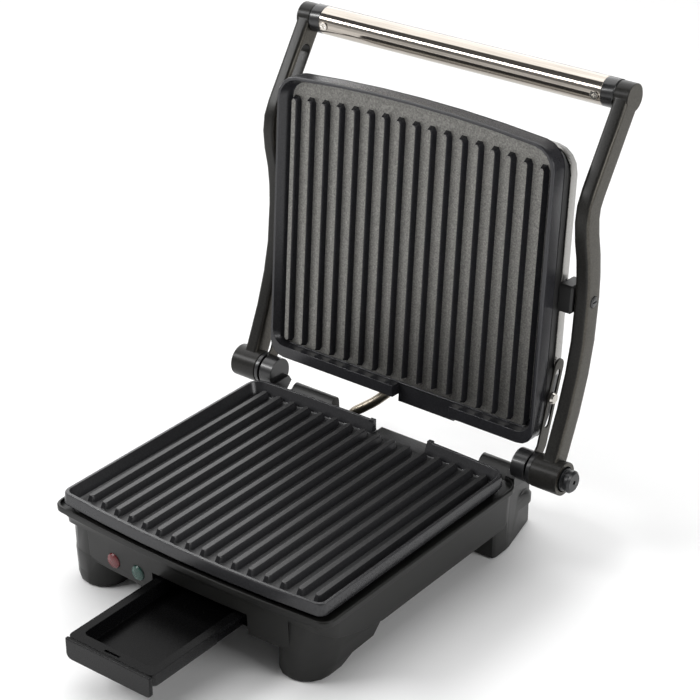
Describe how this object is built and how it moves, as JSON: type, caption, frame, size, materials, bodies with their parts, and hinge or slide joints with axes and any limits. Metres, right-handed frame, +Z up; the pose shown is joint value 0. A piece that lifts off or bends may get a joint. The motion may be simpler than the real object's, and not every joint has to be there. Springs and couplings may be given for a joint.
{
  "type": "panini press",
  "caption": "Contact grill with a ribbed lower plate, a ribbed hinged lid on two arms with a bar handle, a pull-out drip tray and a side release button.",
  "frame": {"origin": "centre of the whole object seen from above, on the surface it stands on", "axes": "+Z up, +Y from the front with the drip tray to the hinge, +X along the hinge towards the release button"},
  "size_m": [0.384, 0.5182, 0.4168],
  "materials": {
    "housing_plastic": "fine satin, dark grey",
    "cover_plastic": "matte black",
    "nonstick": "black non-stick coating with a fine sparkle",
    "arm_metal": "satin dark grey lacquer",
    "handle_steel": "polished steel tube",
    "cover_steel": "brushed stainless",
    "gloss_plastic": "gloss black",
    "conduit_metal": "warm nickel",
    "screw_steel": "plated",
    "pin_steel": "turned",
    "red_lens": "red, translucent look",
    "green_lens": "green, translucent look",
    "rubber": "matte",
    "element_metal": "oxidised",
    "reflector_metal": "mill finish",
    "fuse_brass": "plain",
    "terminal_plastic": "cream",
    "button_plastic": "satin grey face",
    "tray_plastic": "satin black"
  },
  "bodies": {
    "base": {"base_housing": "housing_plastic", "base_bottom_cover": "cover_plastic", "lower_grill_plate": "nonstick", "lower_heating_element": "element_metal", "lower_reflector": "reflector_metal", "thermostat": "terminal_plastic", "thermal_fuse": "fuse_brass", "terminal_block": "terminal_plastic", "lamp_carrier": "cover_plastic", "power_lens": "red_lens", "ready_lens": "green_lens", "foot_front_left": "rubber", "foot_front_right": "rubber", "foot_rear_left": "rubber", "foot_rear_right": "rubber", "cord_inlet_gland": "rubber", "hinge_bracket_left": "gloss_plastic", "hinge_bracket_right": "gloss_plastic", "hinge_pin_left": "pin_steel", "hinge_pin_right": "pin_steel", "conduit": "conduit_metal", "conduit_base_grommet": "cover_plastic"},
    "arms": {"left_arm": "arm_metal", "right_arm": "arm_metal", "handle_tube": "handle_steel", "handle_collar_left": "gloss_plastic", "handle_collar_right": "gloss_plastic", "handle_screw_left": "screw_steel", "handle_screw_right": "screw_steel", "pivot_screw_left": "screw_steel", "pivot_screw_right": "screw_steel", "hinge_ring_left": "gloss_plastic", "hinge_ring_right": "gloss_plastic", "release_spring": "pin_steel"},
    "lid": {"upper_grill_plate": "nonstick", "upper_housing": "cover_plastic", "upper_cover": "cover_steel", "pivot_block_left": "cover_plastic", "pivot_block_right": "cover_plastic", "guide_screw_left": "screw_steel", "guide_screw_right": "screw_steel", "guide_collar_left": "cover_plastic", "guide_collar_right": "cover_plastic", "upper_heating_element": "element_metal", "upper_reflector": "reflector_metal", "upper_fuse": "fuse_brass", "conduit_lid_grommet": "cover_plastic"},
    "guide_links": {"guide_link_left": "arm_metal", "guide_link_right": "arm_metal"},
    "tray": {"drip_tray": "tray_plastic", "drip_tray_front": "tray_plastic"},
    "button": {"release_button": "button_plastic"}
  },
  "joints": [
    {"name": "arms_hinge", "type": "hinge", "parent": "base", "child": "arms", "pos_m": [-0.0055, 0.15, 0.077], "axis": [1, 0, 0], "range_deg": [-84.4, 91.4], "deforming": ["conduit"]},
    {"name": "lid_tilt", "type": "hinge", "parent": "arms", "child": "lid", "pos_m": [-0.0055, 0.1965, 0.2305], "axis": [1, 0, 0], "range_deg": [-3, 3.2]},
    {"name": "guide_swing", "type": "hinge", "parent": "arms", "child": "guide_links", "pos_m": [-0.0055, 0.15, 0.077], "axis": [1, 0, 0], "range_deg": [-4.4, 4.2]},
    {"name": "tray_slide", "type": "slide", "parent": "base", "child": "tray", "axis": [0, 1, 0], "range_m": [-0.06, 0.104]},
    {"name": "button_press", "type": "slide", "parent": "arms", "child": "button", "axis": [-1, 0, 0], "range_m": [0, 0.004], "stiffness_N_per_m": 600, "springref_m": -0.004}
  ],
  "couplings": [
    {"joint": "lid_tilt", "follows": "arms_hinge", "ratio": 0.0295},
    {"joint": "guide_swing", "follows": "arms_hinge", "ratio": -0.041}
  ]
}
